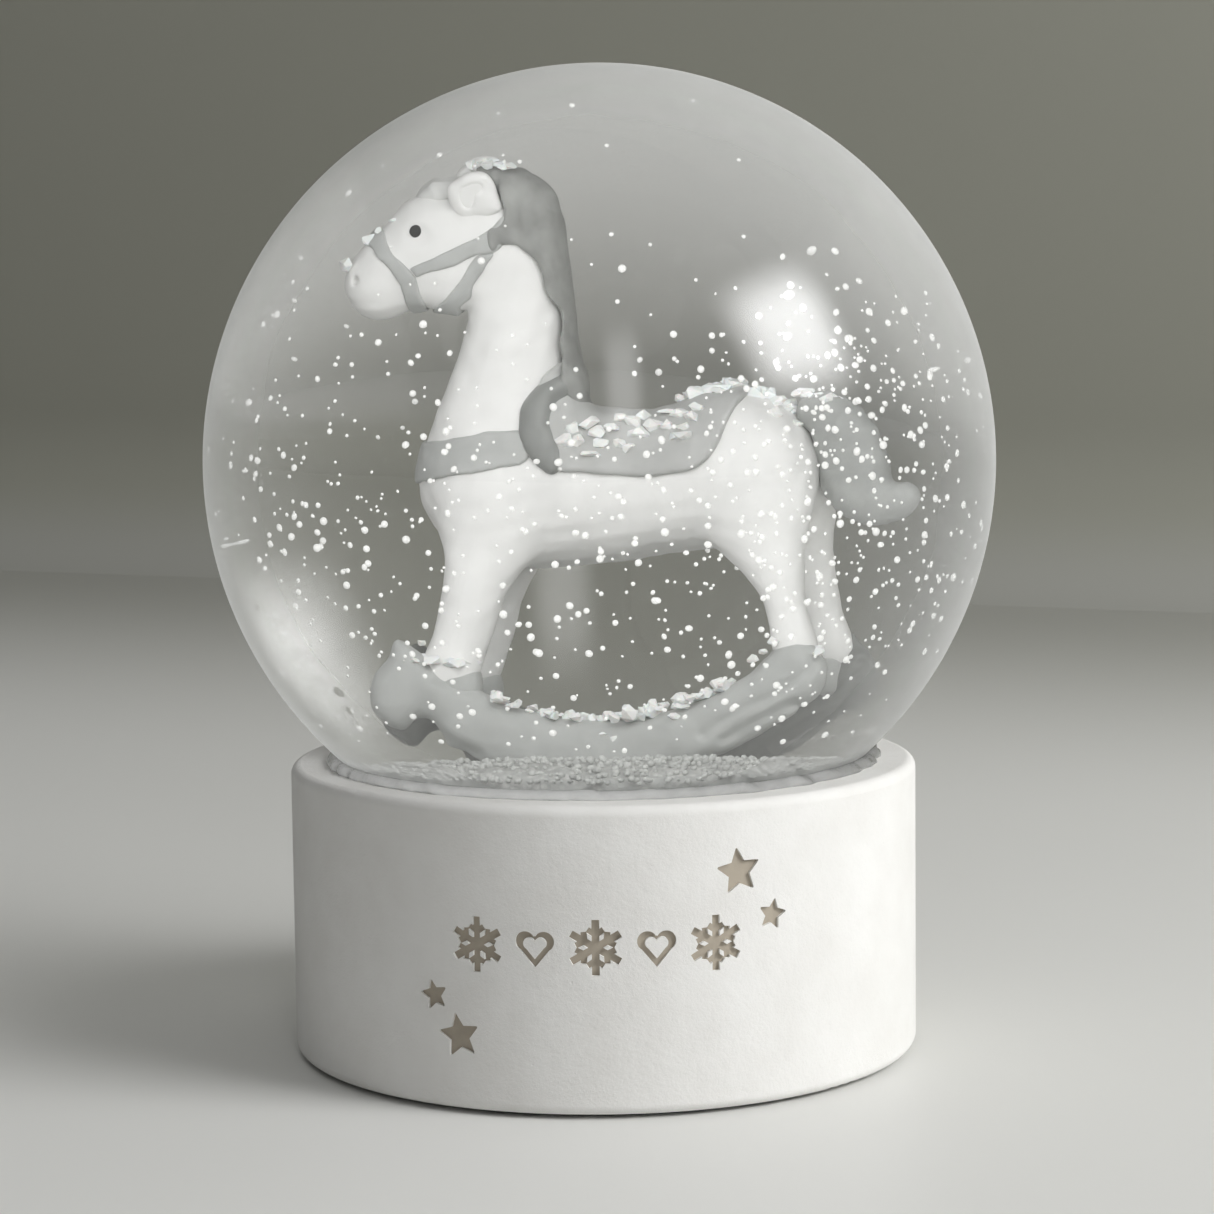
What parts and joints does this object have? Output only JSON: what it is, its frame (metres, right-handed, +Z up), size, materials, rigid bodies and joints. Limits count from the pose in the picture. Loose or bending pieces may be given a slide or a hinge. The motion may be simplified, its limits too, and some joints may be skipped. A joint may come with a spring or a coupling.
{
  "type": "snow globe",
  "caption": "Water-filled glass snow globe on a white cast drum base, with a painted rocking horse and drifting snow inside.",
  "frame": {"origin": "middle of the felt pad's underside, on the globe's vertical axis", "axes": "+Z up through the globe, -Y towards the engraved front of the base, so the horse faces about -X (turned 12 degrees away from the front at its head)"},
  "size_m": [0.065, 0.065, 0.0811],
  "materials": {
    "plaster_white": "matte cast plaster, fine pits",
    "engraving_taupe": "matte taupe paint in the recess",
    "felt_grey": "dark felt",
    "clear_sealant": "clear silicone adhesive",
    "clear_glass": "polished clear glass",
    "stopper_rubber": "pale grey moulded rubber",
    "liquid_clear": "clear water with a little glycerine",
    "snow_flakes": "white plastic flakes",
    "figure_white": "white paint on cast resin, satin",
    "figure_grey": "warm grey paint on cast resin, satin",
    "figure_dark_grey": "darker grey paint on cast resin",
    "ground_speckle": "speckled grey and white snow ground",
    "eye_black": "black dot of paint"
  },
  "bodies": {
    "globe": {"base_body": "plaster_white", "engraved_stars": "engraving_taupe", "engraved_motif": "engraving_taupe", "felt_pad": "felt_grey", "seat_adhesive": "clear_sealant", "glass_globe": "clear_glass", "rubber_stopper": "stopper_rubber", "liquid_fill": "liquid_clear", "settled_flakes": "ground_speckle", "ground_mound": "ground_speckle", "rocker_left": "figure_grey", "rocker_right": "figure_grey", "horse_body": "figure_white", "hooves": "figure_grey", "ear_left": "figure_white", "ear_right": "figure_white", "eye_left": "eye_black", "eye_right": "eye_black", "mane": "figure_dark_grey", "forelock": "figure_dark_grey", "tail": "figure_dark_grey", "saddle": "figure_grey", "saddle_roll": "figure_grey", "chest_strap": "figure_grey", "noseband": "figure_grey", "cheek_straps": "figure_grey", "throat_latch": "figure_grey", "snow_chips_head": "snow_flakes", "snow_chips_saddle": "snow_flakes", "snow_chips_rump": "snow_flakes", "snow_chips_rockers": "snow_flakes"},
    "snow_swirl": {"floating_flakes": "snow_flakes"}
  },
  "joints": [
    {"name": "snow_drift", "type": "hinge", "parent": "globe", "child": "snow_swirl", "pos_m": [0, 0, 0.0486], "axis": [0, 0, 1], "continuous": true, "deforming": ["liquid_fill"]}
  ]
}
